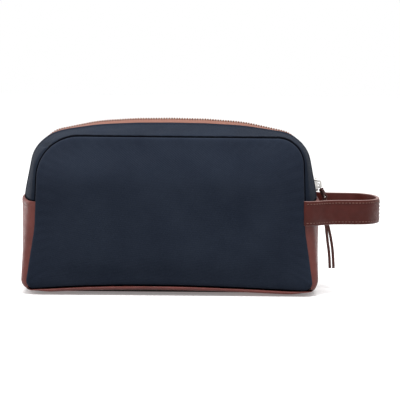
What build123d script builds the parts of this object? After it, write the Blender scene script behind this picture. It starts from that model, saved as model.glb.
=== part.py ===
from build123d import *

import os
from math import atan2, cos, degrees, pi, radians, sin, sqrt, tan

# Shaving kit bag. Millimetres. Origin: the centre of the flat underside. +X points to the wrist
# strap's side, -Y to the front and +Z up.

# ---- driving dimensions ------------------------------------------------------------------------
SEAM_Y = 55.0            # front and back seams stand at y = -55 and +55
FACE_BULGE = 4.0         # how far the padded face stands out from its seam
ZIP_FLAT = 7.0           # the walls' shape doesn't change this far either side of the zip's middle
STATIONS = (-55.0, -48.0, -34.0, -7.0, 7.0, 34.0, 48.0, 55.0)

LEATHER = 2.3            # leather panels laid over the fabric walls
FABRIC = 1.6             # fabric walls
LAYER_GAP = 0.2          # air between curved layers, so that they never overlap
LINING = 0.8
LINING_GAP = 0.5
FOAM = 3.0               # padding behind the front and back faces
RIM_INSET = 0.8          # the padded face draws in by this at 0.6 of its bulge
CROWN_INSET = 14.0       # and by this at its full bulge
BOARD = 2.0              # stiff board on the floor of the bag
BOARD_LENGTH, BOARD_DEPTH, BOARD_CORNER = 236.0, 92.0, 8.0
POCKET_LENGTH, POCKET_HEIGHT, POCKET_MID_Z, POCKET_THICK = 170.0, 70.0, 50.0, 1.0

# Outline of the fabric wall at its two ends: at the seams, and in the middle under the zip.
SEAM = dict(low=124.0, knee=117.3, knee_z=60.0, high=114.3, high_z=138.2, top=139.0,
            floor=LEATHER + 5.0, r_low=8.0, r_top=30.0)
MIDDLE = dict(low=130.6, knee=129.6, knee_z=84.0, high=123.5, high_z=141.5, top=152.4,
              floor=LEATHER, r_low=5.0, r_top=41.0)
KNEE_R = 90.0            # the side's gentle bend above the base
CREST_X, CREST_R = 32.0, 130.0   # the top is level between these and falls away beyond

BASE_EDGE = 8.0          # the base leather turns up to here
FABRIC_LOW = 14.0        # the fabric sides start here, behind the side leather
LEATHER_TOP = 82.0       # the side leather's top edge
MOUTH_Z = 100.0          # the two halves of the mouth tilt about this height
SPLIT = 0.15             # half the gap left between pieces that move apart

TAPE_WIDTH = 11.0        # each half of the zip tape, from the zip's middle
TAPE_OUT, TAPE_IN = 0.4, 1.4
COIL_WIDTH = 3.2
COIL_PROUD = 1.0
COIL_GAP = 0.85          # the slider's divider runs between the two coils
ZIP_END = LEATHER_TOP + 2.0
STOP_LENGTH = 1.1
STOP_PROUD = COIL_PROUD + 0.3

SLIDER_Z = 94.0
SLIDER_LENGTH = 11.8
SLIDER_HALF = 5.6
SLIDER_PLATE = 1.4
SLIDER_INNER_PLATE = 1.2
SLIDER_CORNER = 2.0
SLIDER_RAIL_IN = COIL_WIDTH + 1.2    # the rails that close the slider's two sides
SLIDER_RAIL_CUT = 2.0
DIVIDER_HALF, DIVIDER_LENGTH = 0.45, 2.5
SLIDER_CLEAR = 0.6       # to the coils on the outside
SLIDER_CLEAR_IN = 1.0    # to the tape on the inside
BRIDGE_HALF = 1.0
BRIDGE_HEIGHT = 3.9
BRIDGE_HALF_LENGTH = 3.6
BRIDGE_CORNER = 2.0
BRIDGE_HOLE = 2.1        # across the opening, along the slider's own x
BRIDGE_HOLE_HALF = 1.9   # half its length along the zip
BRIDGE_FOOT = 0.4        # the opening starts this far off the plate
TAB_TILT = 26.0          # the tab leans out from the vertical as it rests on the side leather
TAB_LENGTH = 13.2
TAB_HALF = 2.4
TAB_THICK = 1.2
TAB_CORNER = 1.2
TAB_WINDOW, TAB_WINDOW_HALF = 6.2, 1.45
TAB_BAR = 0.75           # radius of the bar that turns in the bridge
TAB_EYE_TOP, TAB_EYE_HALF = 8.2, 1.5
EYE_BAR = 12.4           # from the tab's pivot to the bar that the lace goes round

STRAP_LOW, STRAP_HIGH = 62.4, 83.6
STRAP_Y = 41.5           # outer face of each leg of the loop
STRAP_OUTER, STRAP_INNER = 1.6, 1.4
STRAP_BEND_X = 164.0     # the loop's round end starts here
STRAP_END = 24.5         # how far the round end reaches past that
STRAP_PIVOT_X = 148.0
STRAP_SEAM = (120.6, -56.8)      # plan points of the anchor's run from the seam
STRAP_TURN_X = 138.0
PIVOT_DISC = 10.8        # rounded root of the loop, inside the anchors' hollow ends
PIVOT_HOLLOW = 11.4

LACE = 2.6
LACE_HALF_GAP = 1.5      # the two tails hang side by side
LOOP_OUT, LOOP_IN, LOOP_WIDE = 2.4, 1.3, 2.4
KNOT_DEEP, KNOT_WIDE = 1.7, 2.9  # half sizes along x and y
KNOT_TOP, KNOT_DROP = 2.2, 6.0   # below the eye's bar
BEND_SHARE = 0.45        # each bend of a tail takes up this share of its shorter neighbour


# ---- the bag's shape ---------------------------------------------------------------------------
def station(y):
    """The wall's outline values at y, between the seam's and the middle's."""
    along = min(1.0, (SEAM_Y - abs(y)) / (SEAM_Y - ZIP_FLAT))
    wide = sqrt(1.0 - (1.0 - along) ** 2)
    share = dict(low=wide, knee=wide, high=wide, knee_z=wide, high_z=along, top=along,
                 floor=min(1.0, along * 7.0), r_low=wide, r_top=along)
    return {key: SEAM[key] + (MIDDLE[key] - SEAM[key]) * part for key, part in share.items()}


def section(y, inset=0.0, shape=None):
    """The bag's closed outline across y, `inset` inside the fabric's face."""
    s = shape or station(y)
    half = [
        (s["low"] - inset, s["floor"] + inset, max(2.0, s["r_low"] - inset)),
        (s["knee"] - inset, s["knee_z"], KNEE_R),
        (s["high"] - inset, s["high_z"] - inset, s["r_top"] - inset),
        (CREST_X, s["top"] - inset, CREST_R),
    ]
    corners = half + [(-x, z, radius) for x, z, radius in reversed(half)]
    return rounded_face([(Vector(x, y, z), radius) for x, z, radius in corners])


def rounded_face(corners):
    """A flat face through corners given as (point, radius), its corners rounded."""
    arcs = []
    for at, (point, radius) in enumerate(corners):
        back = (corners[at - 1][0] - point).normalized()
        on = (corners[(at + 1) % len(corners)][0] - point).normalized()
        half_angle = radians(back.get_angle(on)) / 2
        inward = (back + on).normalized()
        reach = radius / tan(half_angle)
        deepest = point + inward * (radius / sin(half_angle) - radius)
        arcs.append((point + back * reach, deepest, point + on * reach))
    edges = []
    for arc, following in zip(arcs, arcs[1:] + arcs[:1]):
        edges.append(Edge.make_three_point_arc(*arc))
        edges.append(Edge.make_line(arc[2], following[0]))
    return Face(Wire(edges))


def solid_bag(inset):
    return loft([section(y, inset) for y in STATIONS], ruled=True)


def shell(outer, inner):
    return solid_bag(outer) - solid_bag(inner)


def space(x=(-300, 300), y=(-100, 100), z=(-20, 300)):
    """A plain box to keep or cut away what lies between these limits."""
    middle = [(pair[0] + pair[1]) / 2 for pair in (x, y, z)]
    return Pos(*middle) * Box(x[1] - x[0], y[1] - y[0], z[1] - z[0])


def mirrored(shape, plane=Plane.XZ):
    return mirror(shape, about=plane)


UPPER = dict(z=(MOUTH_Z + SPLIT, 300))
LOWER_TOP = MOUTH_Z - SPLIT
ZIP_SLOT = space(y=(-TAPE_WIDTH, TAPE_WIDTH), z=(ZIP_END, 300))


# ---- leather base and sides --------------------------------------------------------------------
def leather_pieces():
    leather = shell(-LEATHER, -LAYER_GAP)
    right = leather & space(x=(0, 300), z=(BASE_EDGE, LEATHER_TOP))
    return {
        "base_leather": leather & space(z=(-20, BASE_EDGE)),
        "side_leather_right": right,
        "side_leather_left": mirrored(right, Plane.YZ),
        "base_board": base_board(),
    }


def base_board():
    plan = RectangleRounded(BOARD_LENGTH, BOARD_DEPTH, BOARD_CORNER)
    return Pos(0, 0, LEATHER - LAYER_GAP) * extrude(plan, BOARD)


# ---- fabric gusset: the strip that runs up the sides and over the top --------------------------
def gusset_pieces():
    fabric = shell(0.0, FABRIC)
    right = fabric & space(x=(0, 300), z=(FABRIC_LOW, LOWER_TOP))
    right -= ZIP_SLOT
    front = fabric & space(y=(-100, -TAPE_WIDTH), **UPPER)
    return {
        "gusset_right_lower": right,
        "gusset_left_lower": mirrored(right, Plane.YZ),
        "gusset_front_upper": front,
        "gusset_back_upper": mirrored(front),
    }


# ---- padded front and back faces ---------------------------------------------------------------
def face_pieces():
    seam = station(SEAM_Y)
    face = loft([
        section(-SEAM_Y, 0.0, shape=seam),
        section(-SEAM_Y - 0.6 * FACE_BULGE, RIM_INSET, shape=seam),
        section(-SEAM_Y - FACE_BULGE, CROWN_INSET, shape=seam),
    ], ruled=True)
    foam = extrude(section(-SEAM_Y, FABRIC + LINING_GAP, shape=seam), -FOAM)
    pieces = {}
    for name, whole in (("face", face), ("foam", foam)):
        for place, cut in (("lower", space(z=(-20, LOWER_TOP))), ("upper", space(**UPPER))):
            front = whole & cut
            pieces[f"front_{name}_{place}"] = front
            pieces[f"back_{name}_{place}"] = mirrored(front)
    return pieces


# ---- lining and pocket -------------------------------------------------------------------------
def lining_pieces():
    wall = SEAM_Y - FOAM
    outset = FABRIC + LINING_GAP
    outside = solid_bag(outset) & space(y=(-wall, wall))
    inner_wall = wall - LINING
    inside = solid_bag(outset + LINING) & space(y=(-inner_wall, inner_wall))
    lining = outside - inside
    slot = space(y=(-TAPE_WIDTH + 2, TAPE_WIDTH - 2), z=(LEATHER_TOP, 300))
    lining -= slot
    front = lining & space(y=(-100, 0), **UPPER)
    pocket = Box(POCKET_LENGTH, POCKET_THICK, POCKET_HEIGHT)
    pocket = Pos(0, inner_wall - POCKET_THICK / 2, POCKET_MID_Z) * pocket
    return {
        "lining_lower": lining & space(z=(-20, LOWER_TOP)),
        "lining_front_upper": front,
        "lining_back_upper": mirrored(front),
        "slip_pocket": pocket,
    }


# ---- zip ---------------------------------------------------------------------------------------
def zip_pieces():
    tape = shell(TAPE_OUT, TAPE_IN) & space(y=(-TAPE_WIDTH, -COIL_GAP), z=(ZIP_END, 300))
    coil = shell(-COIL_PROUD, TAPE_OUT - LAYER_GAP)
    coil &= space(y=(-COIL_WIDTH, -COIL_GAP), z=(ZIP_END + STOP_LENGTH, 300))
    stop = shell(-STOP_PROUD, TAPE_OUT - LAYER_GAP)
    stop &= space(x=(0, 300), y=(-COIL_WIDTH, COIL_WIDTH), z=(ZIP_END, ZIP_END + STOP_LENGTH))
    pieces = {"zip_stop_right": stop, "zip_stop_left": mirrored(stop, Plane.YZ)}
    for name, whole in (("zip_tape", tape), ("zip_coil", coil)):
        front = whole & space(**UPPER)
        end = whole & space(x=(0, 300), z=(0, LOWER_TOP))
        end = Compound(children=[*end.solids(), *mirrored(end).solids()])
        pieces[f"{name}_front"] = front
        pieces[f"{name}_back"] = mirrored(front)
        pieces[f"{name}_right_end"] = end
        pieces[f"{name}_left_end"] = mirrored(end, Plane.YZ)
    return pieces


# ---- slider, pull tab and lace -----------------------------------------------------------------
SIDE_SLOPE = (MIDDLE["high"] - MIDDLE["knee"]) / (MIDDLE["high_z"] - MIDDLE["knee_z"])
TRACK_TILT = degrees(atan2(-SIDE_SLOPE, 1.0))
SLIDER_X = MIDDLE["knee"] + SIDE_SLOPE * (SLIDER_Z - MIDDLE["knee_z"])
TRACK = Pos(SLIDER_X, 0, SLIDER_Z) * Rot(0, -TRACK_TILT, 0)   # x outwards, z up along the zip
PLATE_OUT = COIL_PROUD + SLIDER_CLEAR
PLATE_FACE = PLATE_OUT + SLIDER_PLATE
PIVOT_RISE = PLATE_FACE + BRIDGE_FOOT + BRIDGE_HOLE / 2
PIVOT = Vector((TRACK * Pos(PIVOT_RISE, 0, 0)).position)


def slider_pieces():
    half = SLIDER_LENGTH / 2
    outer = space((PLATE_OUT, PLATE_FACE), (-SLIDER_HALF, SLIDER_HALF), (-half, half))
    outer = fillet(outer.edges().filter_by(Axis.X), SLIDER_CORNER)
    inside = -TAPE_IN - SLIDER_CLEAR_IN
    inner = space((inside - SLIDER_INNER_PLATE, inside), (-SLIDER_HALF, SLIDER_HALF),
                  (-half, half))
    inner = fillet(inner.edges().filter_by(Axis.X), SLIDER_CORNER)
    divider = space((inside, PLATE_OUT), (-DIVIDER_HALF, DIVIDER_HALF),
                    (-half, -half + DIVIDER_LENGTH))
    body = outer + inner + divider
    for side in (-1, 1):
        rail_y = sorted((side * SLIDER_RAIL_IN, side * SLIDER_HALF))
        body += space((LAYER_GAP, PLATE_OUT), rail_y,
                      (-half + SLIDER_RAIL_CUT, half - SLIDER_RAIL_CUT))
    bridge = space((PLATE_FACE, PLATE_FACE + BRIDGE_HEIGHT), (-BRIDGE_HALF, BRIDGE_HALF),
                   (-BRIDGE_HALF_LENGTH, BRIDGE_HALF_LENGTH))
    outer_edges = bridge.edges().filter_by(Axis.Y).group_by(Axis.X)[-1]
    bridge = fillet(outer_edges, BRIDGE_CORNER)
    hole = (PIVOT_RISE - BRIDGE_HOLE / 2, PIVOT_RISE + BRIDGE_HOLE / 2)
    bridge -= space(hole, (-BRIDGE_HALF, BRIDGE_HALF), (-BRIDGE_HOLE_HALF, BRIDGE_HOLE_HALF))
    return {"slider_body": TRACK * body, "slider_bridge": TRACK * bridge}


def pull_tab():
    """Cut from a flat strip that hangs along -Z from its pivot, then leant outwards."""
    flat = (-TAB_THICK / 2, TAB_THICK / 2)
    tab = space(flat, (-TAB_HALF, TAB_HALF), (-TAB_LENGTH, 0))
    tab = fillet(tab.edges().filter_by(Axis.X).group_by(Axis.Z)[0], TAB_CORNER)
    tab -= space(flat, (-TAB_WINDOW_HALF, TAB_WINDOW_HALF), (-TAB_WINDOW, 0))
    eye_low = -EYE_BAR + (TAB_LENGTH - EYE_BAR)
    tab -= space(flat, (-TAB_EYE_HALF, TAB_EYE_HALF), (eye_low, -TAB_EYE_TOP))
    tab += Rot(90, 0, 0) * Cylinder(TAB_BAR, 2 * TAB_HALF)
    return Pos(*PIVOT) * Rot(0, -TAB_TILT, 0) * tab


LACE_X = PIVOT.X + EYE_BAR * sin(radians(TAB_TILT))
LACE_Z = PIVOT.Z - EYE_BAR * cos(radians(TAB_TILT))
KNOT_LOW = LACE_Z - KNOT_DROP

# Each tail's route as (how far it swings out from the eye, its height), from the knot down.
TAIL_FRONT = ((0.0, KNOT_LOW), (0.0, 68.0), (1.6, 55.5), (3.2, 42.5), (5.0, 30.5), (5.6, 18.5))
TAIL_BACK = ((0.0, KNOT_LOW), (0.0, 68.8), (4.0, 56.0), (6.8, 43.5), (8.6, 31.0), (9.2, 18.2))


def lace_loop():
    ring = Rot(90, 0, 0) * (Cylinder(LOOP_OUT, LOOP_WIDE) - Cylinder(LOOP_IN, LOOP_WIDE))
    knot = space((-KNOT_DEEP, KNOT_DEEP), (-KNOT_WIDE, KNOT_WIDE), (-KNOT_DROP, -KNOT_TOP))
    return Pos(LACE_X, 0, LACE_Z) * (ring + knot)


def lace_tail(route, y):
    points = [Vector(LACE_X + out, y, z) for out, z in route]
    radii = []
    for before, corner, after in zip(points, points[1:], points[2:]):
        first, second = corner - before, after - corner
        turn = first.get_angle(second)
        radii.append(BEND_SHARE * min(first.length, second.length) / tan(radians(turn) / 2))
    line = FilletPolyline(*points, radius=radii)
    start = Plane(origin=points[0], z_dir=points[1] - points[0])
    tail = sweep(start * Circle(LACE / 2), path=line)
    swept = pi * (LACE / 2) ** 2 * line.length
    print("tail length", round(line.length, 1), "volume", round(tail.volume, 1),
          "and as section x length", round(swept, 1))
    return tail


def pull_pieces():
    return {
        "pull_tab": pull_tab(),
        "lace_loop": lace_loop(),
        "lace_tail_front": lace_tail(TAIL_FRONT, -LACE_HALF_GAP),
        "lace_tail_back": lace_tail(TAIL_BACK, LACE_HALF_GAP),
    }


# ---- wrist strap -------------------------------------------------------------------------------
def loop_plan(depth):
    """The area inside the loop's outer face less `depth`, seen from above."""
    half = STRAP_Y - depth
    length = STRAP_BEND_X - STRAP_PIVOT_X + PIVOT_DISC
    straight = Pos(STRAP_BEND_X - length / 2, 0) * Rectangle(length, 2 * half)
    return straight + Pos(STRAP_BEND_X, 0) * Ellipse(STRAP_END - depth, half)


def strap_loop(outer, inner):
    """One layer of the loop, rounded at its root about the line it swings on."""
    height = STRAP_HIGH - STRAP_LOW
    ring = extrude(loop_plan(outer) - loop_plan(inner), height)
    ring = Pos(0, 0, STRAP_LOW) * ring
    free = ring & space(x=(STRAP_PIVOT_X, 300))
    root = ring & space(x=(0, STRAP_PIVOT_X))
    return free + (root & pivot_round(PIVOT_DISC))


def pivot_round(radius):
    height = (STRAP_LOW + STRAP_HIGH) / 2
    return Pos(STRAP_PIVOT_X, 0, height) * Rot(90, 0, 0) * Cylinder(radius, 150)


def strap_anchor():
    """The sewn-down stretch of the front leg, from the seam to the loop's root."""
    thick = STRAP_OUTER + STRAP_INNER
    leg_y = -STRAP_Y + thick / 2
    line = Polyline(STRAP_SEAM, (STRAP_TURN_X, leg_y), (STRAP_PIVOT_X, leg_y))
    plan = trace(line, thick)
    leg = Pos(0, 0, STRAP_LOW) * extrude(plan, STRAP_HIGH - STRAP_LOW)
    return leg - pivot_round(PIVOT_HOLLOW)


def strap_pieces():
    anchor = strap_anchor()
    return {
        "strap_anchor_front": anchor,
        "strap_anchor_back": mirrored(anchor),
        "strap_outer": strap_loop(0.0, STRAP_OUTER),
        "strap_inner": strap_loop(STRAP_OUTER, STRAP_OUTER + STRAP_INNER),
    }


# ---- write the pieces --------------------------------------------------------------------------
def main():
    os.makedirs("parts", exist_ok=True)
    groups = (leather_pieces, gusset_pieces, face_pieces, lining_pieces, zip_pieces,
              slider_pieces, pull_pieces, strap_pieces)
    for group in groups:
        for name, shape in group().items():
            export_step(Compound(children=list(shape.solids())), f"parts/{name}.step")
    print("tab pivot", PIVOT, "lace pivot", LACE_X, LACE_Z, "track tilt", TRACK_TILT)


main()
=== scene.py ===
from math import acos, cos, pi, radians, sin, sqrt, tan

import bpy
import numpy as np
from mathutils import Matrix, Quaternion, Vector


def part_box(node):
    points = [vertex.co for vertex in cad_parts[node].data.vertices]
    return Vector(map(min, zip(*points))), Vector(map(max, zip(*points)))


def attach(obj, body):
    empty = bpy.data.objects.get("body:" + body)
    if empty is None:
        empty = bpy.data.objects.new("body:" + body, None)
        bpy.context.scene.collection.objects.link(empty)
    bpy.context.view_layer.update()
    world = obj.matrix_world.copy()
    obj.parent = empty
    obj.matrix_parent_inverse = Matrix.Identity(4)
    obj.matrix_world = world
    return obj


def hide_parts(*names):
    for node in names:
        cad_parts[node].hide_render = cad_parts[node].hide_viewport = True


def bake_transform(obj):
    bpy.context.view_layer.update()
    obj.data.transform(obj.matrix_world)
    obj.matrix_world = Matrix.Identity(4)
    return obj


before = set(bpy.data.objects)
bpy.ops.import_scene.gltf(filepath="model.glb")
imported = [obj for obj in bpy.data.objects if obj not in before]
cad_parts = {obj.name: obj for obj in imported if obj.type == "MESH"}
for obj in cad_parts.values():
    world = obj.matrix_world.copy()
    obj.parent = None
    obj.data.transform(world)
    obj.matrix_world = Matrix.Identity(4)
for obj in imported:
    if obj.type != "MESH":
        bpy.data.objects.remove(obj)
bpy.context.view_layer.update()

MM = 0.001

# Shaving kit bag. Shapes are worked out in millimetres and become metres when a mesh is made.
# A wall outline runs from the bottom's middle up the right side, over the top and down the left.

# ---- sizes -------------------------------------------------------------------------------------
SEAM_Y = 55.0
EDGE_Y = 11.0                # the gusset's folded edge beside the zip
ZIP_RISE = 0.69              # how much of the top's rise is reached at that edge
BOTTOM, TOP = 4.0, 139.0     # the seam outline's lowest and highest lines

# Outlines go round corners given as (x, z, radius).
SEAM_SIDE = ((126.7, BOTTOM, 8.0), (118.4, 58.0, 90.0))
SEAM_TOP_X = 115.6
SEAM_ROUND_RIGHT, SEAM_ROUND_LEFT = 24.0, 37.0
LEFT_WIDER = 1.012           # the left side is a little fuller
MIDDLE = ((0.0, 2.0), (129.0, 2.0, 14.0), (129.8, 86.0, 60.0), (119.4, 138.0, 33.0),
          (65.0, 149.7, 150.0), (31.0, 152.0, 100.0), (0.0, 152.5))
RUNS = (26, 30, 60, 60)      # samples from the bottom's middle to each corner and on to the top

GROOVE_DEEP, GROOVE_WIDE = 3.4, 3.2
PUCKER = 0.22                # the gathers' depth beside the seam
CREASE_AT = (-110.0, 130.0)  # the fold's place, as (x, z)
CREASE_DEEP, CREASE_WIDE, CREASE_LONG = 3.0, 1.7, 14.0
FACE_CENTRE = (0.0, 72.0)
FACE_HALF = (121.0, 67.0)
FACE_DOME, FACE_RIPPLE = 3.4, 0.3
LEAN = 0.13                  # the share of their depth by which the faces lean in at the top
LEAN_FROM, LEAN_TO = 95.0, 145.0
ARCH = 4.4                   # how far the base's long edges arch off the floor
ARCH_REACH = 120.0

LEATHER = 2.4
LEATHER_SLANT = 1.6          # the side panel's top edge is this much lower at the seams
LEATHER_TOP = 83.0
LINING_IN = 2.3              # from the fabric to the lining
TAPE_FOOT, TRACK_FOOT = 79.0, 85.0
COIL_PITCH, COIL_SUNK, COIL_OFF_MIDDLE = 2.3, 0.5, 1.35
STRAP_LOW, STRAP_HIGH = 62.4, 83.6
STRAP_THICK = 3.0
STRAP_MARGIN = 2.3           # from the strap's edge to its stitches
STITCH_PITCH, STITCH_SUNK = 3.0, 0.12
# The pull tab's pivot, and the bar at its foot that the lace goes round.
TAB_TOP, TAB_FOOT = (132.96, 0.0, 94.47), (138.4, 0.0, 83.32)

# The camera stands in metres, and its roll is in degrees.
CAMERA_EYE, CAMERA_AIM = (0.0, -1.594, 0.2187), (0.0261, 0.0, 0.0792)
CAMERA_LENS, CAMERA_SENSOR, CAMERA_ROLL = 160, 36, 0.6


# ---- lines and sheets --------------------------------------------------------------------------
def unit(vector):
    return vector / np.linalg.norm(vector)


def rounded(corners):
    """A dense line round corners given as (a, b, radius), and each corner's place in it."""
    line = [np.array(corners[0][:2], float)]
    middles = []
    for before, corner, after in zip(corners, corners[1:], corners[2:]):
        point = np.array(corner[:2], float)
        back = unit(np.array(before[:2], float) - point)
        on = unit(np.array(after[:2], float) - point)
        turn = pi - acos(np.clip(back @ on, -1.0, 1.0))
        if turn < 0.01:
            line.append(point)
            middles.append(len(line) - 1)
            continue
        reach = corner[2] * tan(turn / 2)
        centre = point + unit(back + on) * corner[2] / cos(turn / 2)
        first = point + back * reach - centre
        last = point + on * reach - centre
        for share in np.linspace(0, 1, 17):
            spoke = (sin((1 - share) * turn) * first + sin(share * turn) * last) / sin(turn)
            line.append(centre + spoke)
        middles.append(len(line) - 9)
    line.append(np.array(corners[-1][:2], float))
    return np.array(line), middles


def resampled(line, count):
    """`count` points spaced evenly along a line."""
    steps = np.linalg.norm(np.diff(line, axis=0), axis=1)
    along = np.concatenate([[0.0], np.cumsum(steps)])
    wanted = np.linspace(0, along[-1], count)
    return np.column_stack([np.interp(wanted, along, line[:, k]) for k in range(line.shape[1])])


def line_length(line):
    return np.linalg.norm(np.diff(line, axis=0), axis=1).sum()


def half_outline(corners):
    """Half an outline, with RUNS samples between its corners."""
    line, middles = rounded(corners)
    cuts = [0, *middles[:3], len(line) - 1]
    parts = []
    for start, stop, count in zip(cuts, cuts[1:], RUNS):
        parts.append(resampled(line[start:stop + 1], count + 1)[:-1])
    return np.vstack([*parts, line[-1:]])


def seam_half(top_round):
    """Half the seam's outline, with this radius at its top corner."""
    corners = ((0.0, BOTTOM), *SEAM_SIDE, (SEAM_TOP_X, TOP, top_round), (0.0, TOP))
    return half_outline(corners)


def whole_loop(right, left):
    """A closed outline from its right and left halves, both given as if on the right."""
    return np.vstack([right, left[-2:0:-1] * (-1, 1)])


def outward(loop):
    """Normals of a closed outline that runs anticlockwise."""
    ahead = np.roll(loop, -1, axis=0) - np.roll(loop, 1, axis=0)
    ahead /= np.linalg.norm(ahead, axis=1)[:, None]
    return np.column_stack([ahead[:, 1], -ahead[:, 0]])


SEAM_LOOP = whole_loop(seam_half(SEAM_ROUND_RIGHT),
                       seam_half(SEAM_ROUND_LEFT) * (LEFT_WIDER, 1.0))
MIDDLE_LOOP = whole_loop(half_outline(MIDDLE), half_outline(MIDDLE))
SEAM_OUT = outward(SEAM_LOOP)
WALL_OUT = outward(SEAM_LOOP + MIDDLE_LOOP)
SEAM_STEPS = np.linalg.norm(np.roll(SEAM_LOOP, -1, axis=0) - SEAM_LOOP, axis=1)
SEAM_ALONG = np.cumsum(SEAM_STEPS)


def ramp(value, start, stop):
    """A smooth change from 0 at `start` to 1 at `stop`."""
    share = np.clip((value - start) / (stop - start), 0.0, 1.0)
    return share * share * (3 - 2 * share)


def settled(points):
    """Lean the faces in towards the top, and arch the base's long edges off the floor."""
    x, y, z = points.T
    y = y * (1 - LEAN * ramp(z, LEAN_FROM, LEAN_TO))
    along = np.clip((x + ARCH_REACH) / (2 * ARCH_REACH), 0.0, 1.0)
    arch = ARCH * np.sin(pi * along ** 0.8)
    near_edge = ramp(np.abs(y), 25, SEAM_Y)
    near_floor = ramp(z, 50, 5)
    return np.column_stack([x, y, z + arch * near_edge * near_floor])


def top_share(away):
    """How much of the top's rise is reached, which the crowned zip completes."""
    strip = ZIP_RISE * min(1.0, (SEAM_Y - away) / (SEAM_Y - EDGE_Y)) ** 0.9
    crown = (1 - ZIP_RISE) * (1 - min(1.0, away / EDGE_Y) ** 1.6)
    return strip + crown * ramp(WALL_OUT[:, 1], 0.72, 0.98)


def groove(away):
    """How far the gusset turns in where it meets the seam."""
    into = np.clip((away - SEAM_Y + GROOVE_WIDE) / GROOVE_WIDE, 0.0, 1.0)
    return GROOVE_DEEP * (1 - sqrt(1 - into ** 2))


def pucker(away):
    """Small gathers beside the seam."""
    size = PUCKER * np.exp(-(SEAM_Y - away) / 5.0)
    return size * np.sin(SEAM_ALONG / 1.6 + 1.3 * np.sin(SEAM_ALONG / 11.0))


def crease(flat, y):
    """A fold across the gusset where it turns the top left-hand corner."""
    x, z = (flat - CREASE_AT).T
    across = z - 0.06 * x
    near = np.exp(-(x / CREASE_LONG) ** 2) * (flat[:, 0] < 0)
    depth = CREASE_DEEP * ramp(abs(y), 16, 42) * (1 - 0.75 * ramp(abs(y), 48, 54))
    return depth * near * np.exp(-(across / CREASE_WIDE) ** 2)


def wall(y, proud=0.0):
    """The wall's closed outline at depth y, `proud` outside the fabric."""
    away = abs(y)
    side = sqrt(max(0.0, 1 - (away / SEAM_Y) ** 2))
    floor = min(1.0, (1 - away / SEAM_Y) * 6)
    up = np.clip(WALL_OUT[:, 1], 0, 1) ** 2
    down = np.clip(-WALL_OUT[:, 1], 0, 1) ** 2
    share = side * (1 - up - down) + top_share(away) * up + floor * down
    flat = SEAM_LOOP + (MIDDLE_LOOP - SEAM_LOOP) * share[:, None]
    flat = flat + WALL_OUT * (proud - groove(away) + pucker(away) - crease(flat, y))[:, None]
    return settled(np.column_stack([flat[:, 0], np.full(len(flat), y), flat[:, 1]]))


def side_x(side, y, z):
    """How far out the wall stands at depth y and height z, on side 1 (right) or -1 (left)."""
    loop = wall(y)
    if side < 0:
        loop = np.roll(loop[::-1], 1, axis=0)
    rising = loop[RUNS[0]:RUNS[0] + RUNS[1] + RUNS[2]]
    return np.interp(z, rising[:, 2], rising[:, 0])


def above(line, height):
    """The places in a line that lie higher than `height`."""
    return [k for k, point in enumerate(line) if point[2] > height]


def wall_normals(places):
    return np.column_stack([WALL_OUT[places][:, 0], np.zeros(len(places)), WALL_OUT[places][:, 1]])


def grid(rows, closed=True, cap=False, keep=None, flip=False):
    """A sheet's vertices and faces through rows of equal length."""
    verts = np.vstack(rows)
    across = len(rows[0])
    faces = []
    for at in range(len(rows) - 1):
        for k in range(across if closed else across - 1):
            on = (k + 1) % across
            a, b = at * across + k, at * across + on
            face = (a, a + across, b + across, b)
            if keep is None or keep(verts[list(face)].mean(axis=0)):
                faces.append(face)
    if cap:
        last = len(verts) - across
        verts = np.vstack([verts, verts[last:].mean(axis=0)])
        faces += [(last + k, len(verts) - 1, last + (k + 1) % across) for k in range(across)]
    if flip:
        faces = [face[::-1] for face in faces]
    return verts, faces


def mirrored_y(verts, faces):
    """A shape mirrored from front to back."""
    return verts * (1, -1, 1), [face[::-1] for face in faces]


def joined(shapes):
    """Several shapes as one."""
    verts, faces, start = [], [], 0
    for some_verts, some_faces in shapes:
        verts.append(some_verts)
        faces += [tuple(k + start for k in face) for face in some_faces]
        start += len(some_verts)
    return np.vstack(verts), faces


def piece(name, shape, material, thick=0.0):
    """A smooth-shaded object from (vertices in millimetres, faces), thickened inwards.

    A sheet whose faces look inwards takes a negative thickness.
    """
    verts, faces = shape
    mesh = bpy.data.meshes.new(name)
    mesh.from_pydata([tuple(point) for point in verts * MM], [], faces)
    mesh.update()
    mesh.shade_smooth()
    mesh.materials.append(material)
    made = bpy.data.objects.new(name, mesh)
    bpy.context.collection.objects.link(made)
    if thick:
        solid = made.modifiers.new("thickness", "SOLIDIFY")
        solid.thickness = thick * MM
        solid.offset = -1.0
        apply_modifiers(made)
    return made


def apply_modifiers(made):
    """The mesh as its modifiers leave it becomes the object's own."""
    bpy.context.view_layer.update()
    shown = made.evaluated_get(bpy.context.evaluated_depsgraph_get())
    mesh = bpy.data.meshes.new_from_object(shown)
    made.modifiers.clear()
    made.data = mesh


def spline(points, count):
    """A smooth cubic line near the given points, from the first to the last."""
    held = np.vstack([points[:1], points[:1], points, points[-1:], points[-1:]])
    line = []
    for a, b, c, d in zip(held, held[1:], held[2:], held[3:]):
        for t in np.linspace(0, 1, 12, endpoint=False):
            weights = ((1 - t) ** 3, 3 * t ** 3 - 6 * t ** 2 + 4,
                       -3 * t ** 3 + 3 * t ** 2 + 3 * t + 1, t ** 3)
            line.append(sum(w * p for w, p in zip(weights, (a, b, c, d))) / 6)
    line.append(held[-1])
    return resampled(np.array(line), count)


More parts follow.
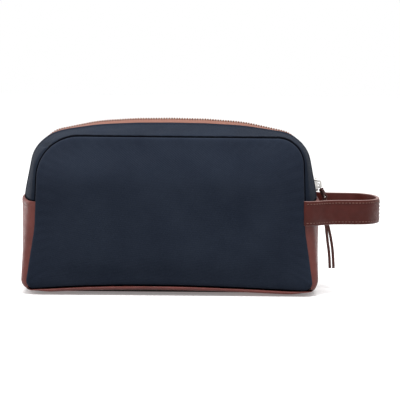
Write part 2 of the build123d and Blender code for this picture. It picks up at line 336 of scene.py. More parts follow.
# ---- small repeated shapes ---------------------------------------------------------------------
def bead(length, wide, high, blunt=0.6):
    """A rounded bar along x, standing on z = 0."""
    sides, rings = 8, 7
    rows = []
    for share in np.linspace(-1, 1, rings):
        size = (1 - abs(share) ** 3) ** blunt + 0.05
        angles = np.arange(sides) * 2 * pi / sides
        rows.append(np.column_stack([
            np.full(sides, share * length / 2),
            np.cos(angles) * wide / 2 * size,
            high / 2 + np.sin(angles) * high / 2 * size]))
    verts, faces = grid(rows, flip=True)
    ends = [tuple(range(sides)), tuple(range(len(verts) - 1, len(verts) - sides - 1, -1))]
    return verts, faces + ends


def scattered(shape, places):
    """Copies of a shape at each (origin, along, up)."""
    verts, faces = shape
    shapes = []
    for origin, along, up in places:
        along = unit(along)
        across = unit(np.cross(up, along))
        rise = np.cross(along, across)
        turned = verts @ np.array([along, across, rise])
        shapes.append((turned + origin, faces))
    return joined(shapes)


def stitch_row(line, up):
    """Places for stitches along a line whose surface normals are `up`."""
    count = max(2, int(line_length(line) / STITCH_PITCH))
    along = resampled(np.hstack([line, up]), 2 * count + 1)
    places = []
    for k in range(1, 2 * count, 2):
        normal = unit(along[k, 3:])
        places.append((along[k, :3] - normal * STITCH_SUNK,
                       along[k + 1, :3] - along[k - 1, :3], normal))
    return places


# ---- materials ---------------------------------------------------------------------------------
def node(tree, kind, inputs=None, **settings):
    """A new node with these settings, whose inputs are values or other nodes' sockets."""
    made = tree.nodes.new(kind)
    for key, value in settings.items():
        setattr(made, key, value)
    for key, value in (inputs or {}).items():
        if isinstance(value, bpy.types.NodeSocket):
            tree.links.new(value, made.inputs[key])
        else:
            made.inputs[key].default_value = value
    return made


def maths(tree, operation, a, b=0.0):
    """A Math node's value."""
    return node(tree, "ShaderNodeMath", {0: a, 1: b}, operation=operation).outputs[0]


def blended(tree, factor, a, b):
    """The colour a where the factor is 0 and b where it is 1."""
    return node(tree, "ShaderNodeMix", {0: factor, 6: (*a, 1), 7: (*b, 1)},
                data_type="RGBA").outputs[2]


def noise(tree, scale, detail=3.0, stretch=(1, 1, 1)):
    """Noise whose scale is in features per metre."""
    place = node(tree, "ShaderNodeTexCoord").outputs["Object"]
    place = node(tree, "ShaderNodeMapping", {"Vector": place, "Scale": stretch}).outputs[0]
    return node(tree, "ShaderNodeTexNoise", {"Vector": place, "Scale": scale,
                                             "Detail": detail}).outputs["Fac"]


def spread(tree, value, low, high, to_low=0.0, to_high=1.0):
    """A value's range from low to high, stretched to run from to_low to to_high."""
    return node(tree, "ShaderNodeMapRange", {0: value, 1: low, 2: high, 3: to_low,
                                             4: to_high}).outputs[0]


def threads(tree, pitch, turned):
    """Crossing threads: a sine along each axis, multiplied in pairs."""
    place = node(tree, "ShaderNodeTexCoord").outputs["Object"]
    place = node(tree, "ShaderNodeMapping", {"Vector": place,
                                             "Rotation": (turned, turned, turned)}).outputs[0]
    axes = node(tree, "ShaderNodeSeparateXYZ", {0: place})
    waves = []
    for axis in "XYZ":
        angle = maths(tree, "MULTIPLY", axes.outputs[axis], 2 * pi / (pitch * MM))
        waves.append(maths(tree, "SINE", angle))
    pairs = [maths(tree, "MULTIPLY", waves[k - 1], waves[k]) for k in range(3)]
    return maths(tree, "ADD", maths(tree, "ADD", pairs[0], pairs[1]), pairs[2])


def bumped(tree, shader, height, distance, strength, under=None):
    """A bump `distance` millimetres high on the shader, over the normals in `under`."""
    made = node(tree, "ShaderNodeBump", {"Height": height, "Distance": distance * MM,
                                         "Strength": strength})
    if under is not None:
        tree.links.new(under, made.inputs["Normal"])
    tree.links.new(made.outputs[0], shader.inputs["Normal"])
    return made.outputs[0]


def fresh(name, **constants):
    """A new material with these constants on its Principled shader."""
    material = bpy.data.materials.new(name)
    material.use_nodes = True
    tree = material.node_tree
    shader = tree.nodes["Principled BSDF"]
    for key, value in constants.items():
        socket = shader.inputs[key.replace("_", " ")]
        socket.default_value = value
    return material, tree, shader


def fabric(name, dark, light, pitch=0.9, rough=0.85, sheen=0.06, deep=0.06, gloss=0.2):
    """Woven cloth with a faint mottle. Its threads are `pitch` apart and `deep` high."""
    material, tree, shader = fresh(name, Sheen_Weight=sheen, Sheen_Roughness=0.45,
                                   Specular_IOR_Level=gloss)
    mottle = maths(tree, "ADD", noise(tree, 22, 4), maths(tree, "MULTIPLY", noise(tree, 900), 0.5))
    factor = spread(tree, mottle, 0.45, 1.05)
    tree.links.new(blended(tree, factor, dark, light), shader.inputs["Base Color"])
    tree.links.new(spread(tree, noise(tree, 60), 0.3, 0.7, rough - 0.06, rough + 0.06),
                   shader.inputs["Roughness"])
    soft = bumped(tree, shader, noise(tree, 70, 2), 0.25, 0.6)
    bumped(tree, shader, threads(tree, pitch, 0.5), deep, 0.8, under=soft)
    return material


def leather(name, dark, light, rough=0.42, grain=0.12, gloss=0.4):
    """Full-grain leather with patches, soft creases and pores."""
    material, tree, shader = fresh(name, Specular_IOR_Level=gloss)
    patches = maths(tree, "ADD", noise(tree, 17, 5), maths(tree, "MULTIPLY", noise(tree, 160), 0.4))
    factor = spread(tree, patches, 0.5, 0.95)
    tree.links.new(blended(tree, factor, dark, light), shader.inputs["Base Color"])
    tree.links.new(spread(tree, noise(tree, 240, 4), 0.3, 0.7, rough - 0.08, rough + 0.12),
                   shader.inputs["Roughness"])
    place = node(tree, "ShaderNodeTexCoord").outputs["Object"]
    cells = node(tree, "ShaderNodeTexVoronoi", {"Vector": place, "Scale": 1100.0},
                 feature="DISTANCE_TO_EDGE").outputs["Distance"]
    pores = spread(tree, cells, 0.0, 0.25)
    creases = bumped(tree, shader, noise(tree, 130, 6, (1, 1, 2.5)), 0.3, 0.5)
    bumped(tree, shader, pores, grain, 0.5, under=creases)
    return material


def ribbed_tape(name, dark, light):
    """Ribs along the zip tape, which runs across y everywhere."""
    material, tree, shader = fresh(name, Sheen_Weight=0.3, Specular_IOR_Level=0.3)
    place = node(tree, "ShaderNodeTexCoord").outputs["Object"]
    across = node(tree, "ShaderNodeSeparateXYZ", {0: place}).outputs["Y"]
    ribs = maths(tree, "SINE", maths(tree, "MULTIPLY", across, 2 * pi / (0.7 * MM)))
    factor = spread(tree, maths(tree, "ADD", ribs, noise(tree, 500)), -0.5, 1.6)
    tree.links.new(blended(tree, factor, dark, light), shader.inputs["Base Color"])
    tree.links.new(spread(tree, noise(tree, 90), 0.3, 0.7, 0.7, 0.85), shader.inputs["Roughness"])
    bumped(tree, shader, ribs, 0.1, 0.8)
    return material


def metal(name, dark, light):
    """Plated metal with faint smudges."""
    material, tree, shader = fresh(name, Metallic=1.0)
    tree.links.new(blended(tree, noise(tree, 120), dark, light), shader.inputs["Base Color"])
    tree.links.new(spread(tree, noise(tree, 700, 5), 0.3, 0.7, 0.16, 0.30),
                   shader.inputs["Roughness"])
    bumped(tree, shader, noise(tree, 1500, 4), 0.01, 0.4)
    return material


def coiled_nylon(name, dark, light):
    """Nylon with a slightly uneven gloss."""
    material, tree, shader = fresh(name, Specular_IOR_Level=0.2)
    tree.links.new(blended(tree, noise(tree, 300), dark, light), shader.inputs["Base Color"])
    tree.links.new(spread(tree, noise(tree, 400), 0.3, 0.7, 0.5, 0.65),
                   shader.inputs["Roughness"])
    bumped(tree, shader, noise(tree, 2500), 0.02, 0.5)
    return material


def foamy(name, dark, light):
    """Matte board or foam with small cells."""
    material, tree, shader = fresh(name, Roughness=0.95, Specular_IOR_Level=0.1)
    place = node(tree, "ShaderNodeTexCoord").outputs["Object"]
    cells = node(tree, "ShaderNodeTexVoronoi", {"Vector": place, "Scale": 1400.0})
    tree.links.new(blended(tree, cells.outputs["Distance"], light, dark),
                   shader.inputs["Base Color"])
    bumped(tree, shader, cells.outputs["Distance"], 0.3, 0.8)
    return material


NAVY = fabric("navy_fabric", (0.0118, 0.0172, 0.031), (0.0215, 0.0295, 0.048), sheen=0.02,
              deep=0.04, gloss=0.12)
# The gusset's cloth is the faces' navy fabric in darker colours: painted shade that keeps its lit
# top as dark as the faces.
NAVY_PAINTED_SHADE = fabric("navy_fabric_painted_shade", (0.0065, 0.0105, 0.020), (0.012, 0.019, 0.034),
                   sheen=0.01, deep=0.04, gloss=0.12)
BROWN = leather("brown_leather", (0.10, 0.018, 0.0135), (0.19, 0.042, 0.033), 0.42)
STRAP = leather("strap_leather", (0.056, 0.0075, 0.0045), (0.094, 0.015, 0.0105), 0.5,
                gloss=0.25)
LACE = leather("lace_leather", (0.045, 0.011, 0.008), (0.10, 0.028, 0.02), 0.55, 0.08)
EDGE_PAINT = leather("edge_paint", (0.20, 0.10, 0.085), (0.34, 0.20, 0.18), 0.35, 0.04)
TAPE = ribbed_tape("zip_tape", (0.17, 0.05, 0.03), (0.32, 0.13, 0.08))
COIL = coiled_nylon("zip_coil", (0.17, 0.065, 0.04), (0.30, 0.14, 0.085))
NICKEL = metal("nickel", (0.40, 0.39, 0.37), (0.62, 0.60, 0.57))
LINING = fabric("lining", (0.16, 0.12, 0.085), (0.26, 0.20, 0.145), 0.7, 0.8, 0.2, 0.05)
FOAM = foamy("foam", (0.42, 0.42, 0.40), (0.66, 0.66, 0.62))
BOARD = foamy("board", (0.03, 0.03, 0.03), (0.06, 0.06, 0.055))
# Near-black cloth that stands for shade: painted shadow in the grooves and above the side panels.
PAINTED_SHADOW = fabric("painted_shadow", (0.001, 0.001, 0.003), (0.002, 0.003, 0.005), sheen=0.0,
                   gloss=0.03)
NAVY_THREAD = fabric("navy_thread", (0.02, 0.024, 0.04), (0.05, 0.055, 0.075), 0.4, 0.7)
BROWN_THREAD = fabric("brown_thread", (0.15, 0.065, 0.05), (0.27, 0.15, 0.12), 0.4, 0.7)


# ---- camera and cords --------------------------------------------------------------------------
def make_camera():
    view = Vector(CAMERA_AIM) - Vector(CAMERA_EYE)
    data = bpy.data.cameras.new("camera")
    data.lens = CAMERA_LENS
    data.sensor_width = CAMERA_SENSOR
    made = bpy.data.objects.new("camera", data)
    bpy.context.collection.objects.link(made)
    turn = view.to_track_quat("-Z", "Y") @ Quaternion((0, 0, 1), radians(CAMERA_ROLL))
    made.rotation_euler = turn.to_euler()
    made.location = CAMERA_EYE
    bpy.context.scene.camera = made


def lace_tail(side, route):
    """A flat lace hanging along a NURBS line, riding on the lace's body in place of its CAD tail.
    """
    data = bpy.data.curves.new(side + "_lace", "CURVE")
    data.dimensions = "3D"
    data.resolution_u = 10
    data.extrude, data.bevel_depth = 0.0009, 0.0004     # 2.6 mm wide and 0.8 mm thick
    data.bevel_resolution = 3
    data.use_fill_caps = True
    line = data.splines.new("NURBS")
    line.points.add(len(route) - 1)
    for point, place in zip(line.points, route):
        point.co = (*place, 1.0)
        point.tilt = pi / 2
    line.order_u = 3
    line.use_endpoint_u = True
    data.materials.append(LACE)
    made = bpy.data.objects.new(side + "_lace", data)
    bpy.context.collection.objects.link(made)
    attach(made, "lace")
    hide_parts("lace_tail_" + side)


make_camera()
lace_tail("front",
          ((0.1384, -0.0015, 0.07732), (0.1384, -0.0015, 0.0680), (0.1400, -0.0015, 0.0555),
           (0.1416, -0.0015, 0.0425), (0.1434, -0.0015, 0.0305), (0.1440, -0.0015, 0.0185)))
lace_tail("back",
          ((0.1384, 0.0015, 0.07732), (0.1384, 0.0015, 0.0688), (0.1424, 0.0015, 0.0560),
           (0.1452, 0.0015, 0.0435), (0.1470, 0.0015, 0.0310), (0.1476, 0.0015, 0.0182)))


# ---- padded faces ------------------------------------------------------------------------------
def drawn_in(inset):
    """The seam's outline, smaller by `inset` all round, without folding at its corners."""
    square = min(inset, 3.0)
    flat = SEAM_LOOP - SEAM_OUT * square
    return FACE_CENTRE + (flat - FACE_CENTRE) * (1 - (inset - square) / np.array(FACE_HALF))


def disc_rows(rim, dome, rings=24, ripple=0.0):
    """Rows from a seam-shaped rim of (inset, depth) pairs to the face's middle."""
    rows = []
    for inset, depth in rim:
        flat = drawn_in(inset)
        rows.append(np.column_stack([flat[:, 0], np.full(len(flat), -depth), flat[:, 1]]))
    edge, depth = rows[-1][:, (0, 2)], rim[-1][1]
    for share in np.linspace(1, 0.02, rings)[1:]:
        flat = FACE_CENTRE + (edge - FACE_CENTRE) * share
        x, z = flat.T
        wave = np.sin(x / 31 + 0.6) * np.sin(z / 24 + 1.1) + 0.4 * np.sin(x / 14 + z / 40)
        tall = np.abs(z - FACE_CENTRE[1]) / (FACE_HALF[1] + 1)
        fall = np.where(z > FACE_CENTRE[1], tall ** 2.4, tall ** 4)
        height = (1 - (np.abs(x) / FACE_HALF[0]) ** 5) * (1 - fall)
        y = -(depth + dome * height * (1 - share ** 8) + ripple * wave * height)
        rows.append(np.column_stack([x, y, z]))
    return [settled(row) for row in rows]


# A face's rolled edge, as (inset, depth).
FACE_RIM = ((3.6, 52.8), (2.6, 53.6), (1.7, 54.4), (1.3, 55.2), (1.5, 55.9), (2.5, 56.6),
            (4.4, 57.1), (7.5, 57.5))


def face_shape():
    """A padded face, gathered a little along its rim."""
    rows = disc_rows(FACE_RIM, FACE_DOME, ripple=FACE_RIPPLE)
    for k, row in enumerate(rows[:10]):
        row[:, 1] += pucker(SEAM_Y - k * 0.9) * 1.2
    return grid(rows, cap=True, flip=True)


def slab_shape():
    """The padding behind a face."""
    outer = disc_rows(((2.6, 54.6), (2.3, 55.0), (2.8, 55.3)), 1.2, rings=12)
    inner = disc_rows(((2.6, 53.4), (2.3, 53.0), (2.8, 52.6)), 0.0, rings=12)
    return joined([grid(outer, cap=True, flip=True), grid(inner, cap=True),
                   grid([inner[0], outer[0]])])


def bent(made, side, slot, *nodes):
    """The piece stands for these CAD nodes, which it hides, and its place is baked into its mesh.
    """
    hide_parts(*nodes)
    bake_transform(made)


def both_sides(make, shape):
    make("front", shape)
    make("back", mirrored_y(*shape))


def groove_shadow_shape():
    """A near-black strip along the bottom of the groove: painted shade where the fabrics meet."""
    rows = []
    for inset, depth in ((-0.5, 51.6), (-0.3, 52.8), (0.0, 53.8), (0.4, 54.7), (1.6, 54.9),
                         (3.0, 53.3), (4.0, 52.0)):
        flat = SEAM_LOOP - SEAM_OUT * inset
        rows.append(settled(np.column_stack([flat[:, 0], np.full(len(flat), -depth),
                                             flat[:, 1]])))
    return grid(rows, flip=True)


def make_groove_shadow(side, shape):
    bent(piece(side + "_seam", shape, PAINTED_SHADOW), side, "navy_fabric")


def make_face(side, shape):
    made = piece(side + "_face", shape, NAVY)
    bent(made, side, "navy_fabric", side + "_face_lower", side + "_face_upper")


def make_padding(side, shape):
    made = piece(side + "_padding", shape, FOAM)
    bent(made, side, "foam", side + "_foam_lower", side + "_foam_upper")


both_sides(make_face, face_shape())
both_sides(make_padding, slab_shape())
both_sides(make_groove_shadow, groove_shadow_shape())

# ---- gusset ------------------------------------------------------------------------------------
WALL_STATIONS = (55, 54.9, 54.6, 54.1, 53.4, 52.5, 51.4, 50, 48, 45, 41, 36, 30, 24, 19, 15.5,
                 14)
FOLDED_EDGE = ((13.2, 0.12), (12.6, 0.5), (12.0, 0.85), (11.4, 0.95), (11.0, 0.7), (10.8, 0.2),
               (10.9, -0.5))
BEHIND_LEATHER = (EDGE_Y, 8, 4, 0)


def gusset_shape():
    """Half the gusset, folded under beside the zip and running on behind the side leather."""
    rows = [wall(-y) for y in WALL_STATIONS]
    rows += [wall(-y, proud) for y, proud in FOLDED_EDGE]
    outer = grid(rows, keep=lambda middle: middle[2] > 10)
    hidden = grid([wall(-y) for y in BEHIND_LEATHER], keep=lambda middle: 10 < middle[2] < 80)
    return joined([outer, hidden])


def gusset_stitches():
    """A row of stitches along the folded edge beside the zip."""
    line = wall(-14.4, 0.1)
    high = above(line, TRACK_FOOT + 1)
    return scattered(bead(2.1, 0.5, 0.42), stitch_row(line[high], wall_normals(high)))


def make_gusset(side, shape):
    nodes = ["gusset_" + side + "_upper"]
    if side == "front":
        nodes += ["gusset_left_lower", "gusset_right_lower"]
    bent(piece(side + "_gusset", shape, NAVY_PAINTED_SHADE), side, "navy_fabric", *nodes)


def make_gusset_stitches(side, shape):
    made = piece(side + "_zip_stitches", shape, NAVY_THREAD)
    bent(made, side, "navy_fabric")


both_sides(make_gusset, gusset_shape())
both_sides(make_gusset_stitches, gusset_stitches())


# ---- zip ---------------------------------------------------------------------------------------
def tape_shape():
    """Half the zip's tape, just under the gusset's folded edge."""
    rows = [wall(-y, -0.25) for y in (13.4, 12, 10.6, 9, 7, 5, 3.2, 1.6, 0.5)]
    return grid(rows, keep=lambda middle: middle[2] > TAPE_FOOT)


def track():
    """The zip's middle line from its right-hand end over the top, with its normals."""
    loop = wall(0.0)
    high = above(loop, TRACK_FOOT)
    return loop[high], wall_normals(high)


def coil_shape():
    """Half the zip's teeth, one bead across the track to each turn of the coil."""
    line, up = track()
    count = int(line_length(line) / COIL_PITCH)
    along = resampled(np.hstack([line, up]), 2 * count + 1)
    places = []
    for k in range(0, 2 * count, 2):
        normal = unit(along[k, 3:])
        origin = along[k, :3] - normal * COIL_SUNK - (0, COIL_OFF_MIDDLE, 0)
        places.append((origin, np.array([0, 1.0, 0.0]) + normal * 0.12, normal))
    return scattered(bead(3.0, 1.45, 1.15, 0.45), places)


def make_tape(side, shape):
    nodes = ["zip_tape_" + side]
    if side == "front":
        nodes += ["zip_tape_left_end", "zip_tape_right_end"]
    bent(piece(side + "_tape", shape, TAPE, 0.5), side, "zip_tape", *nodes)


def make_coil(side, shape):
    nodes = ["zip_coil_" + side]
    if side == "front":
        nodes += ["zip_coil_left_end", "zip_coil_right_end"]
    bent(piece(side + "_coil", shape, COIL), side, "zip_coil", *nodes)


both_sides(make_tape, tape_shape())
both_sides(make_coil, coil_shape())


# ---- leather -----------------------------------------------------------------------------------
# The side panel's section and that of the painted shadow line above it, as (height, how proud it
# stands).
SIDE_PROFILE = ((5.2, 0.2), (4.6, 0.9), (4.5, 1.6), (5.0, 2.1), (6.4, LEATHER), (8.5, LEATHER),
                *((z, LEATHER) for z in np.arange(12.0, 79.0, 4.0)),
                (79.3, LEATHER), (79.7, 2.7), (80.3, 2.9), (81.6, 2.9), (82.5, 2.6),
                (LEATHER_TOP, 2.0), (LEATHER_TOP, 0.7), (82.6, 0.1))
SHADOW_LINE_PROFILE = ((82.4, 0.2), (82.9, 0.9), (83.6, 0.9), (84.2, 0.1))
SIDE_STATIONS = (*WALL_STATIONS, 9, 4.5)


def slanted(y):
    """How much lower the side panel's top edge is at depth y than in the middle."""
    return LEATHER_SLANT * (np.abs(y) / SEAM_Y) ** 3


def thinned(y):
    """The side panel's thickness at depth y, as a share: it is skived towards the seams."""
    return 1 - 0.45 * ramp(np.abs(y), 50.5, SEAM_Y)


def side_leather_shape(side, profile):
    """A sheet round one end of the bag through (height, how proud it stands) pairs."""
    stations = [*(-y for y in SIDE_STATIONS), 0.0, *reversed(SIDE_STATIONS)]
    heights = np.array([z for z, _ in profile])
    prouds = np.array([proud for _, proud in profile])
    rows = []
    for y in stations:
        dents = 0.25 * np.sin(heights / 13 + y / 19) * np.sin(y / 23 + 0.7)
        lift = 1.6 * (abs(y) / SEAM_Y) ** 2 * np.clip((12 - heights) / 7.5, 0, 1)
        level = heights - slanted(y) * (heights > 20) + lift
        x = side_x(side, y, level) + side * (prouds * thinned(y) + dents * (prouds > 1))
        rows.append(np.column_stack([x, np.full(len(x), y), level]))
    return grid(rows, closed=False, flip=side < 0)


def side_stitches(side):
    """The row of stitches below the side panel's top edge."""
    depths = np.linspace(-53, 53, 60)
    level = LEATHER_TOP - 4.6 - slanted(depths)
    x = [side_x(side, y, z) for y, z in zip(depths, level)] + side * LEATHER * thinned(depths)
    line = np.column_stack([x, depths, level])
    ahead = np.gradient(line, axis=0)
    up = np.column_stack([ahead[:, 1], -ahead[:, 0], np.zeros(len(depths))]) * side
    return scattered(bead(2.2, 0.6, 0.5), stitch_row(line, up))


BASE_PLAN = ((0.0, -57.2), (123.4, -57.2, 5.0), (128.8, -34.0, 40.0), (130.4, 0.0, 120.0),
             (128.8, 34.0, 40.0), (123.4, 57.2, 5.0), (0.0, 57.2))
FLOOR_GAP = 0.1
# The base's edge in section, as (inset, height).
BASE_RIM = ((4.2, 3.3), (2.2, 3.7), (0.9, 3.7), (0.25, 3.4), (0.0, 2.8), (0.15, 2.1), (0.6, 1.5),
            (2.0, 1.0), (5.0, 0.6), (9.0, 0.3), (14.0, 0.12))


def rounded_up(points):
    """The base curves up off the floor towards both ends."""
    x, y, z = points.T
    share = 0.8 * ramp(np.abs(x), 98, 125) ** 1.5
    return np.column_stack([x, y, z + np.maximum(4.8 - z, 0) * share])


def base_shape():
    """The base, from inside its rolled rim round and under to its middle."""
    right = resampled(rounded(BASE_PLAN)[0], 120)
    plan = np.vstack([right, right[-2:0:-1] * (-1, 1)])
    out = outward(plan)
    rows = []
    for inset, height in BASE_RIM:
        flat = plan - out * inset
        rows.append(np.column_stack([flat, np.full(len(flat), height)]))
    for share in np.linspace(1, 0.03, 14)[1:]:
        flat = rows[len(BASE_RIM) - 1][:, :2] * share
        rows.append(np.column_stack([flat, np.full(len(flat), FLOOR_GAP)]))
    return grid([settled(rounded_up(row)) for row in rows], cap=True)


def fixed_piece(name, shape, material, slot, *nodes):
    """A piece that stays with the bag's body and may stand for CAD nodes."""
    made = piece(name, shape, material)
    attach(made, "root")
    if nodes:
        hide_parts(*nodes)


def make_leather():
    for side, word in ((1, "right"), (-1, "left")):
        fixed_piece(word + "_leather", side_leather_shape(side, SIDE_PROFILE), BROWN,
                    "brown_leather", "side_leather_" + word)
        # The near-black strip above the panel's top edge is a painted shadow line.
        fixed_piece(word + "_leather_seam", side_leather_shape(side, SHADOW_LINE_PROFILE), PAINTED_SHADOW,
                    "navy_fabric")
        fixed_piece(word + "_leather_stitches", side_stitches(side), BROWN_THREAD,
                    "brown_leather")
    fixed_piece("leather_base", base_shape(), BROWN, "brown_leather", "base_leather")


make_leather()


# ---- lining ------------------------------------------------------------------------------------
def lining_shape():
    """Half the lining, open along the zip."""
    rows = [wall(-y, -LINING_IN) for y in (0, 9, 9.6, 20, 30, 40, 46, 49)]
    rows += disc_rows(((4.6, 50.6), (6.0, 51.3), (9.0, 51.6)), 0.0, rings=12)
    return grid(rows, cap=True, flip=True,
                keep=lambda middle: abs(middle[1]) > 9 or middle[2] < 80)


def make_lining(side, shape):
    nodes = ["lining_" + side + "_upper"]
    if side == "front":
        nodes.append("lining_lower")
    bent(piece(side + "_lining", shape, LINING, -0.6), side, "lining", *nodes)


POCKET_LOW, POCKET_TOP, POCKET_HALF = 15.0, 84.9, 85.0


def pocket_shape():
    """A flat pocket on the back lining, with a turned hem along its mouth."""
    rows = []
    x = np.linspace(-POCKET_HALF, POCKET_HALF, 40)
    for z in (*np.linspace(POCKET_LOW, 78, 16), 78.4, 79, 84, 84.6, POCKET_TOP):
        high = min(1.0, (z - POCKET_LOW) / 66)
        belly = 1.6 * (1 - (x / POCKET_HALF) ** 4) * sin(pi * high * 0.85)
        hem = 0.5 * (POCKET_TOP - 6.6 < z < POCKET_TOP - 0.1)
        rows.append(np.column_stack([x, 50.6 - belly - hem, np.full(len(x), z)]))
    return grid(rows, closed=False, flip=True)


both_sides(make_lining, lining_shape())
fixed_piece("pocket", pocket_shape(), LINING, "lining", "slip_pocket")

# ---- wrist strap -------------------------------------------------------------------------------
# The strap's plan from the front seam to the middle of the loop, as (x, y).
STRAP_LEG = ((114.6, -55.0), (116.2, -57.2), (119.5, -58.3), (125.0, -56.6), (132.0, -50.5),
             (138.5, -45.0), (146.0, -42.2), (155.0, -41.5), (164.0, -41.5), (175.0, -39.0),
             (182.6, -29.0), (186.7, -15.0), (187.1, 0.0))
STRAP_SAMPLES = 220
STRAP_CROSS_ROWS = (98, 121)     # the samples where stitches run across the strap


def strap_line(depth):
    """The strap's plan line, `depth` inside its outer face."""
    front = np.array(STRAP_LEG)
    whole = np.vstack([front, front[-2::-1] * (1, -1)])
    line = spline(whole, STRAP_SAMPLES)
    ahead = np.gradient(line, axis=0)
    ahead /= np.linalg.norm(ahead, axis=1)[:, None]
    out = np.column_stack([ahead[:, 1], -ahead[:, 0]])
    return line - out * depth, out


def strap_layer(outer, inner, low, high, r=0.45):
    """A strip of the strap between two depths and two heights, its four edges rounded."""
    corners = ((outer, low, 1, 1), (outer, high, 1, -1), (inner, high, -1, -1),
               (inner, low, -1, 1))
    profile = []
    for depth, z, inwards, up in corners:
        turn = [(depth + inwards * r, z), (depth + inwards * r * 0.3, z + up * r * 0.3),
                (depth, z + up * r)]
        profile += turn if inwards == up else turn[::-1]
    rows = []
    for depth, z in profile:
        flat, _ = strap_line(depth)
        rows.append(np.column_stack([flat, np.full(len(flat), z)]))
    rows.append(rows[0])
    return grid(rows, closed=False, flip=True)


def strap_stitches():
    """A row along each edge of the strap, and two across it round the loop's end."""
    line, out = strap_line(0.0)
    flat_up = np.column_stack([out, np.zeros(len(out))])
    places = []
    low, high = STRAP_LOW + STRAP_MARGIN, STRAP_HIGH - STRAP_MARGIN
    for z in (low, high):
        run = np.column_stack([line, np.full(len(line), z)])[4:-4]
        places += stitch_row(run, flat_up[4:-4])
    for k in STRAP_CROSS_ROWS:
        run = np.column_stack([np.tile(line[k], (12, 1)), np.linspace(low, high, 12)])
        places += stitch_row(run, np.tile(flat_up[k], (12, 1)))
    return scattered(bead(2.2, 0.6, 0.5), places)


def swinging(made, *nodes):
    """The piece stands for any CAD nodes given, which it hides, and its place is baked into its
    mesh.
    """
    if nodes:
        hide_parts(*nodes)
    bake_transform(made)


def make_strap():
    outer = strap_layer(0.0, 1.6, STRAP_LOW, STRAP_HIGH)
    inner = strap_layer(1.6, STRAP_THICK, STRAP_LOW + 0.3, STRAP_HIGH - 0.3)
    swinging(piece("strap_outer_leather", outer, STRAP), "strap_outer", "strap_anchor_front",
             "strap_anchor_back")
    swinging(piece("strap_lining_leather", inner, STRAP), "strap_inner")
    swinging(piece("strap_stitches", strap_stitches(), BROWN_THREAD))
    paint = []
    for low, high in ((STRAP_HIGH - 0.5, STRAP_HIGH + 0.12), (STRAP_LOW - 0.12, STRAP_LOW + 0.5)):
        paint.append(strap_layer(0.12, STRAP_THICK - 0.12, low, high, 0.25))
    swinging(piece("strap_edge_paint", joined(paint), EDGE_PAINT))


make_strap()


# ---- lace loop and knot ------------------------------------------------------------------------
def lace_mesh(name, runs, radius):
    """Round lace along smooth lines, joined into one mesh."""
    shapes = []
    for line in runs:
        ahead = np.gradient(line, axis=0)
        rows = []
        for point, way in zip(line, ahead):
            way = unit(way)
            first = unit(np.cross(way, (0.31, 0.87, 0.38)))
            second = np.cross(way, first)
            angles = np.arange(10) * 2 * pi / 10
            rows.append(point + radius * (np.outer(np.cos(angles), first)
                                          + np.outer(np.sin(angles), second)))
        shapes.append(grid(rows, cap=True, flip=True))
    return piece(name, joined(shapes), LACE)


def make_lace_binding():
    """Turns of lace round the lower part of the pull tab."""
    top, foot = np.array(TAB_TOP), np.array(TAB_FOOT)
    along = unit(foot - top)
    across = np.array([-along[2], 0.0, along[0]])
    turns = []
    for k, reach in enumerate((5.0, 6.4, 7.8, 9.2)):
        turn = np.linspace(0, 2 * pi, 28)
        slip = 0.5 * np.sin(turn + k)
        turns.append(top + np.outer(reach + slip, along) + np.outer(1.5 * np.cos(turn), across)
                     + np.outer(3.6 * np.sin(turn), (0, 1, 0)))
    made = lace_mesh("lace_binding", turns, 0.8)
    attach(made, "tab")


def make_lace_loop():
    """The lace through the pull tab's eye, with its knot just below."""
    low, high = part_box("lace_loop")
    x = (low[0] + high[0]) / 2 / MM
    eye_z = high[2] / MM - 2.4
    around = np.linspace(-0.35 * pi, 1.35 * pi, 24)
    loop = np.column_stack([x + 1.8 * np.cos(around), 0.5 * np.cos(around),
                            eye_z + 1.8 * np.sin(around)])
    loop = np.vstack([[x, -0.4, eye_z - 4.4], loop[::-1], [x + 0.3, 0.3, eye_z - 4.2]])
    wraps = []
    for height, lean in ((-3.4, 0.5), (-5.0, -0.5)):
        turn = np.linspace(0, 2 * pi, 28)
        wraps.append(np.column_stack([x + 1.35 * np.cos(turn), 2.3 * np.sin(turn),
                                      eye_z + height + lean * np.sin(turn)]))
    made = lace_mesh("lace_knot", [spline(loop, 50), *wraps], 0.85)
    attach(made, "lace")
    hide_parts("lace_loop")


make_lace_loop()
make_lace_binding()


# ---- carried-over CAD pieces -------------------------------------------------------------------
def finish_node(name, material):
    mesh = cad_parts[name].data
    mesh.materials.clear()
    mesh.materials.append(material)


for name in ("slider_body", "slider_bridge", "pull_tab", "zip_stop_left", "zip_stop_right"):
    finish_node(name, NICKEL)
finish_node("base_board", BOARD)


# ---- floor and light ---------------------------------------------------------------------------
GLOW_LOW, GLOW_HIGH = 0.38, 1.2


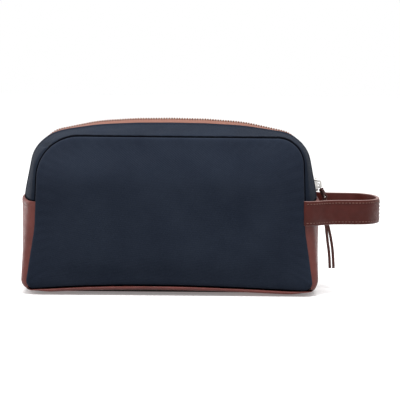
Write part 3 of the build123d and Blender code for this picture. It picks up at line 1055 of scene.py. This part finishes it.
def make_floor():
    """A white floor, unseen by diffuse rays so that it doesn't light the bag."""
    half = 6
    corners = [(-half, -half, 0), (half, -half, 0), (half, half, 0), (-half, half, 0)]
    mesh = bpy.data.meshes.new("floor")
    mesh.from_pydata(corners, [], [(0, 1, 2, 3)])
    material, tree, shader = fresh("floor", Roughness=0.9, Emission_Color=(1, 1, 1, 1),
                                   Emission_Strength=0.2)
    tree.links.new(blended(tree, noise(tree, 3), (0.88, 0.88, 0.88), (0.9, 0.9, 0.9)),
                   shader.inputs["Base Color"])
    mesh.materials.append(material)
    floor = bpy.data.objects.new("floor", mesh)
    bpy.context.collection.objects.link(floor)
    floor.visible_diffuse = False


def soft_light(name, place, aim, size, power):
    data = bpy.data.lights.new(name, "AREA")
    data.shape = "RECTANGLE"
    data.size, data.size_y = size
    data.energy = power
    made = bpy.data.objects.new(name, data)
    made.location = place
    turn = Vector(aim) - Vector(place)
    made.rotation_euler = turn.to_track_quat("-Z", "Y").to_euler()
    bpy.context.collection.objects.link(made)


def make_world():
    """Plain white to the camera. As a light, it brightens from the floor to overhead."""
    world = bpy.data.worlds.new("studio")
    world.use_nodes = True
    tree = world.node_tree
    seen = node(tree, "ShaderNodeLightPath").outputs["Is Camera Ray"]
    sky = tree.nodes["Background"]
    sky.inputs["Color"].default_value = (1, 1, 1, 1)
    way = node(tree, "ShaderNodeTexCoord").outputs["Generated"]
    height = node(tree, "ShaderNodeSeparateXYZ", {0: way}).outputs["Z"]
    glow = spread(tree, height, -0.1, 1.0, GLOW_LOW, GLOW_HIGH)
    strength = node(tree, "ShaderNodeMix", {0: seen, 2: glow, 3: 1.0}).outputs[0]
    tree.links.new(strength, sky.inputs["Strength"])
    bpy.context.scene.world = world
    bpy.context.scene.view_settings.view_transform = "Standard"


make_floor()
make_world()
soft_light("top", (0, -0.4, 1.6), (0, 0, 0.1), (1.2, 0.5), 24)
soft_light("left_rim", (-1.3, 0.5, 0.5), (0, 0, 0.08), (0.7, 1.0), 8)
soft_light("right_rim", (1.3, 0.5, 0.5), (0, 0, 0.08), (0.7, 1.0), 0.3)
